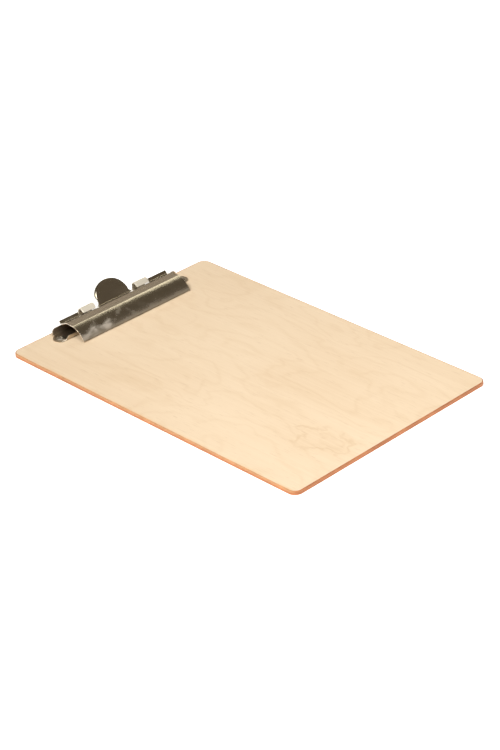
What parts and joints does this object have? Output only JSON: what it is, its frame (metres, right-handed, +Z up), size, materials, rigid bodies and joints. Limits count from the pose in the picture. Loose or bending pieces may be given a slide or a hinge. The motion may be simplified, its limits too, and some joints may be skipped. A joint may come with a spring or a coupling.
{
  "type": "clipboard",
  "caption": "Plywood clipboard for A4 sheets with a riveted, sprung steel clip across its top end that opens by pressing a thumb tab.",
  "frame": {"origin": "centre of the board's underside, where it rests on a desk", "axes": "+X across the board, +Y along the board towards the clip, +Z up out of the writing face"},
  "size_m": [0.22, 0.3236, 0.025],
  "materials": {
    "birch_face": "pale birch veneer, sanded and sealed, matt",
    "birch_core": "plywood core, its edge stained orange brown",
    "plated_steel": "pressed steel sheet, bright nickel plate",
    "spring_steel": "flat spring strip, bright nickel plate",
    "rivet_steel": "soft steel rivet, nickel plate"
  },
  "bodies": {
    "board": {"face_ply": "birch_face", "core_ply": "birch_core", "back_ply": "birch_face", "base_plate": "plated_steel", "left_rivet": "rivet_steel", "right_rivet": "rivet_steel", "left_spring": "spring_steel", "right_spring": "spring_steel"},
    "jaw": {"jaw_plate": "plated_steel"}
  },
  "joints": [
    {"name": "jaw_hinge", "type": "hinge", "parent": "board", "child": "jaw", "pos_m": [0, 0.1522, 0.0116], "axis": [-1, 0, 0], "range_deg": [0, 30], "stiffness_Nm_per_rad": 0.5, "springref_deg": -34.38, "deforming": ["left_spring", "right_spring"]}
  ]
}
